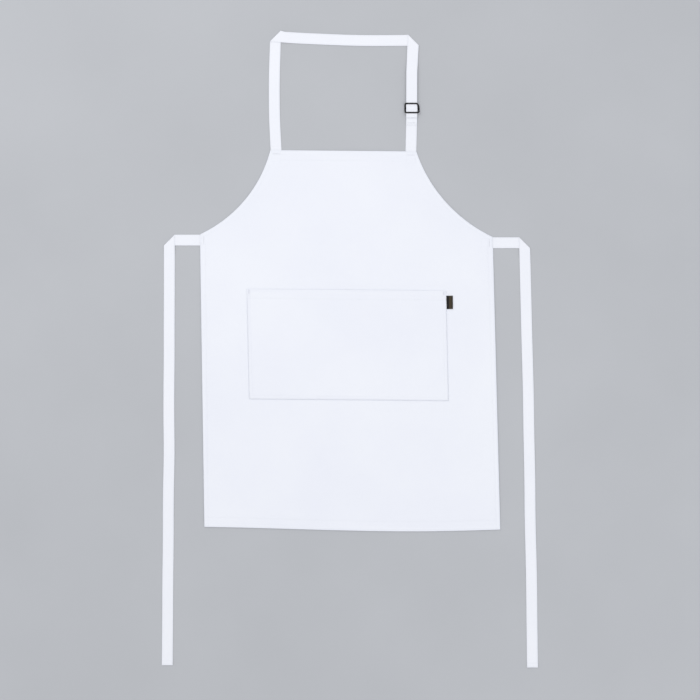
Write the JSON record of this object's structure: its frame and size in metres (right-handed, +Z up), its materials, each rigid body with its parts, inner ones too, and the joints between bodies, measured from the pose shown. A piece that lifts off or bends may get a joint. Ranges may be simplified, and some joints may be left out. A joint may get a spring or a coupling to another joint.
{
  "type": "butcher apron",
  "caption": "White bib apron laid flat: twill panel with a wide patch pocket and side label, adjustable neck strap with a metal slider, and long folded waist ties.",
  "frame": {"origin": "middle of the outline on the surface that the apron lies on", "axes": "+Y from the hem towards the neck strap, +X to the right of somebody looking down on the apron's front, +Z up out of the front"},
  "size_m": [0.8974, 1.5183, 0.0057],
  "materials": {
    "twill": "white polyester-cotton twill, matt, with white topstitching",
    "tape": "white woven tape, matt, with a fine rib along its edges",
    "thread": "white sewing thread, slightly shiny",
    "slider": "blackened metal with a faint brown cast, satin",
    "label": "woven near-black label with a plain olive-brown stripe"
  },
  "bodies": {
    "apron": {"body_panel": "twill", "bib_hem": "twill", "bottom_hem": "twill", "armhole_hem_left": "twill", "armhole_hem_right": "twill", "side_hem_left": "twill", "side_hem_right": "twill", "pocket_panel": "twill", "pocket_hem": "twill", "pocket_turned_edge": "twill", "neck_strap_sewn_end": "tape", "buckle_strap_sewn_end": "tape", "waist_tie_left_sewn_end": "tape", "waist_tie_right_sewn_end": "tape", "bartack_neck_left": "thread", "bartack_neck_right": "thread", "bartack_tie_left": "thread", "bartack_tie_right": "thread", "bartack_pocket_left": "thread", "bartack_pocket_right": "thread"},
    "neck_loop": {"neck_strap_left": "tape", "buckle_strap": "tape", "strap_slider": "slider", "bartack_buckle_strap": "thread"},
    "neck_band": {"neck_strap_top": "tape", "neck_strap_right": "tape"},
    "left_tie_root": {"waist_tie_left_stub": "tape"},
    "left_tie_end": {"waist_tie_left_tail": "tape"},
    "right_tie_root": {"waist_tie_right_stub": "tape"},
    "right_tie_end": {"waist_tie_right_tail": "tape"},
    "label": {"side_label": "label"}
  },
  "joints": [
    {"name": "neck_fold", "type": "hinge", "parent": "apron", "child": "neck_loop", "pos_m": [-0.01548, 0.472, 0.0015], "axis": [1, -0.009, 0], "range_deg": [0, 170]},
    {"name": "neck_adjust", "type": "slide", "parent": "neck_loop", "child": "neck_band", "axis": [0, -1, 0], "range_m": [0, 0.06], "deforming": ["neck_strap_left"]},
    {"name": "tie_left_fold", "type": "hinge", "parent": "apron", "child": "left_tie_root", "pos_m": [-0.35811, 0.25964, 0.0005], "axis": [0, 1, 0], "range_deg": [0, 105]},
    {"name": "tie_left_unfold", "type": "hinge", "parent": "left_tie_root", "child": "left_tie_end", "pos_m": [-0.4306, 0.25964, 0.00085], "axis": [-0.7071, -0.7071, 0], "range_deg": [0, 180]},
    {"name": "tie_right_fold", "type": "hinge", "parent": "apron", "child": "right_tie_root", "pos_m": [0.34149, 0.25336, 0.0005], "axis": [0, -1, 0], "range_deg": [0, 105]},
    {"name": "tie_right_unfold", "type": "hinge", "parent": "right_tie_root", "child": "right_tie_end", "pos_m": [0.4168, 0.25336, 0.00085], "axis": [-0.7071, 0.7071, 0], "range_deg": [0, 180]},
    {"name": "label_flip", "type": "hinge", "parent": "apron", "child": "label", "pos_m": [0.23024, 0.1088, 0.0033], "axis": [0, -1, 0], "range_deg": [0, 170]}
  ]
}
